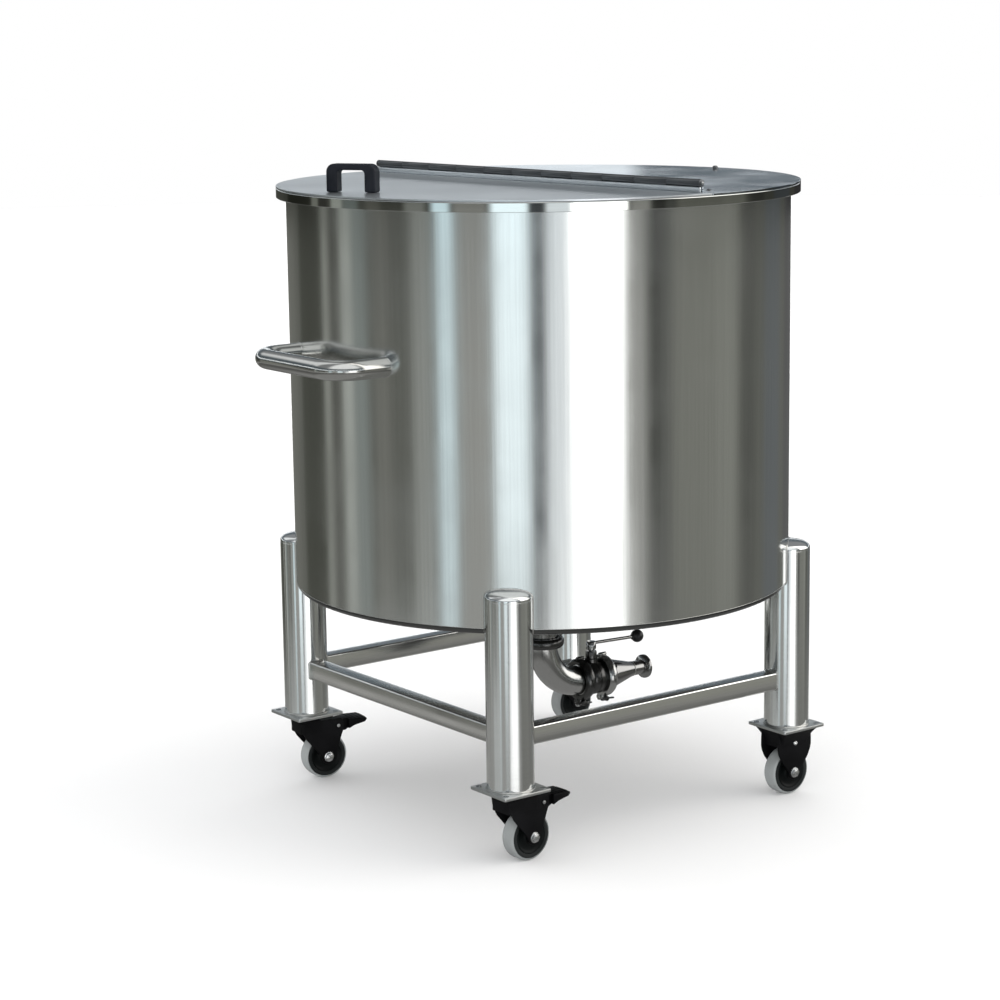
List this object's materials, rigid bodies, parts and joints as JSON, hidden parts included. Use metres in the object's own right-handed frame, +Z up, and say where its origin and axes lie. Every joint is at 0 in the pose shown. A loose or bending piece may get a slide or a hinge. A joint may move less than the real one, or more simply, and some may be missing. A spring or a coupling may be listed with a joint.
{
  "type": "mobile stainless steel storage tank",
  "caption": "Round upright storage tank with a flat hinged lid, standing on a square castor frame, with a push handle and a bottom outlet with a lever valve.",
  "frame": {"origin": "on the floor, under the middle of the whole outline, push handle included; the tank's own axis is at x = 0, y = 0.034", "axes": "+Z up; the push handle is on the -Y side and the outlet points to +Y; +X is to the right of a person at the push handle"},
  "size_m": [0.872, 0.94, 1.0933],
  "materials": {
    "polished_steel": "fine brushed stainless sheet and tube with a bright polish",
    "satin_steel": "satin stainless sheet",
    "castor_black": "black coated pressed steel",
    "black_plastic": "black moulded plastic",
    "grey_tyre": "grey non-marking rubber"
  },
  "bodies": {
    "frame_and_tank": {"castor_plate_handle_left": "castor_black", "castor_plate_handle_right": "castor_black", "foot_plate_handle_left": "polished_steel", "foot_plate_handle_right": "polished_steel", "foot_plate_outlet_left": "polished_steel", "foot_plate_outlet_right": "polished_steel", "hinge_fixed_leaf": "satin_steel", "hinge_pin": "polished_steel", "leg_handle_left": "polished_steel", "leg_handle_right": "polished_steel", "leg_outlet_left": "polished_steel", "leg_outlet_right": "polished_steel", "lid_fixed_half": "satin_steel", "neck_clamp": "polished_steel", "outlet_elbow": "polished_steel", "outlet_ferrule": "polished_steel", "outlet_neck": "polished_steel", "outlet_reducer": "polished_steel", "push_handle": "polished_steel", "rail_handle": "polished_steel", "rail_left": "polished_steel", "rail_right": "polished_steel", "rigid_fork_outlet_left": "castor_black", "rigid_fork_outlet_right": "castor_black", "rim_ring": "polished_steel", "tank_bottom": "polished_steel", "tank_shell": "polished_steel", "valve_body": "polished_steel", "valve_inlet_clamp": "polished_steel", "valve_outlet_clamp": "polished_steel"},
    "lid_flap": {"lid_flap": "satin_steel", "hinge_flap_leaf": "satin_steel", "lid_handle": "black_plastic"},
    "valve_lever": {"valve_lever": "polished_steel", "lever_knob": "black_plastic"},
    "swivel_handle_left": {"swivel_fork_handle_left": "castor_black"},
    "pedal_handle_left": {"brake_pedal_handle_left": "castor_black"},
    "swivel_handle_right": {"swivel_fork_handle_right": "castor_black"},
    "pedal_handle_right": {"brake_pedal_handle_right": "castor_black"},
    "wheel_handle_left": {"wheel_hub_handle_left": "black_plastic", "wheel_tyre_handle_left": "grey_tyre"},
    "wheel_handle_right": {"wheel_hub_handle_right": "black_plastic", "wheel_tyre_handle_right": "grey_tyre"},
    "wheel_outlet_left": {"wheel_hub_outlet_left": "black_plastic", "wheel_tyre_outlet_left": "grey_tyre"},
    "wheel_outlet_right": {"wheel_hub_outlet_right": "black_plastic", "wheel_tyre_outlet_right": "grey_tyre"}
  },
  "joints": [
    {"name": "lid_flap_hinge", "type": "hinge", "parent": "frame_and_tank", "child": "lid_flap", "pos_m": [0.00101, 0.01403, 1.0625], "axis": [-0.9987, -0.0506, 0], "range_deg": [0, 170]},
    {"name": "swivel_turn_handle_left", "type": "hinge", "parent": "frame_and_tank", "child": "swivel_handle_left", "pos_m": [-0.296, -0.262, 0.108], "axis": [0, 0, 1], "continuous": true},
    {"name": "pedal_press_handle_left", "type": "hinge", "parent": "swivel_handle_left", "child": "pedal_handle_left", "pos_m": [-0.28991, -0.21237, 0.094], "axis": [-0.9925, 0.1219, 0], "range_deg": [0, 15]},
    {"name": "wheel_spin_handle_left", "type": "hinge", "parent": "swivel_handle_left", "child": "wheel_handle_left", "pos_m": [-0.29234, -0.23222, 0.04], "axis": [0.9925, -0.1219, 0], "continuous": true},
    {"name": "swivel_turn_handle_right", "type": "hinge", "parent": "frame_and_tank", "child": "swivel_handle_right", "pos_m": [0.296, -0.262, 0.108], "axis": [0, 0, 1], "continuous": true},
    {"name": "pedal_press_handle_right", "type": "hinge", "parent": "swivel_handle_right", "child": "pedal_handle_right", "pos_m": [0.29338, -0.21207, 0.094], "axis": [-0.9986, -0.0523, 0], "range_deg": [0, 15]},
    {"name": "wheel_spin_handle_right", "type": "hinge", "parent": "swivel_handle_right", "child": "wheel_handle_right", "pos_m": [0.29443, -0.23204, 0.04], "axis": [0.9986, 0.0523, 0], "continuous": true},
    {"name": "wheel_spin_outlet_left", "type": "hinge", "parent": "frame_and_tank", "child": "wheel_outlet_left", "pos_m": [-0.296, 0.33, 0.04], "axis": [1, 0, 0], "continuous": true},
    {"name": "wheel_spin_outlet_right", "type": "hinge", "parent": "frame_and_tank", "child": "wheel_outlet_right", "pos_m": [0.296, 0.33, 0.04], "axis": [1, 0, 0], "continuous": true},
    {"name": "valve_lever_turn", "type": "hinge", "parent": "frame_and_tank", "child": "valve_lever", "pos_m": [0, 0.141, 0.234], "axis": [0, 0, 1], "range_deg": [0, 90]}
  ]
}
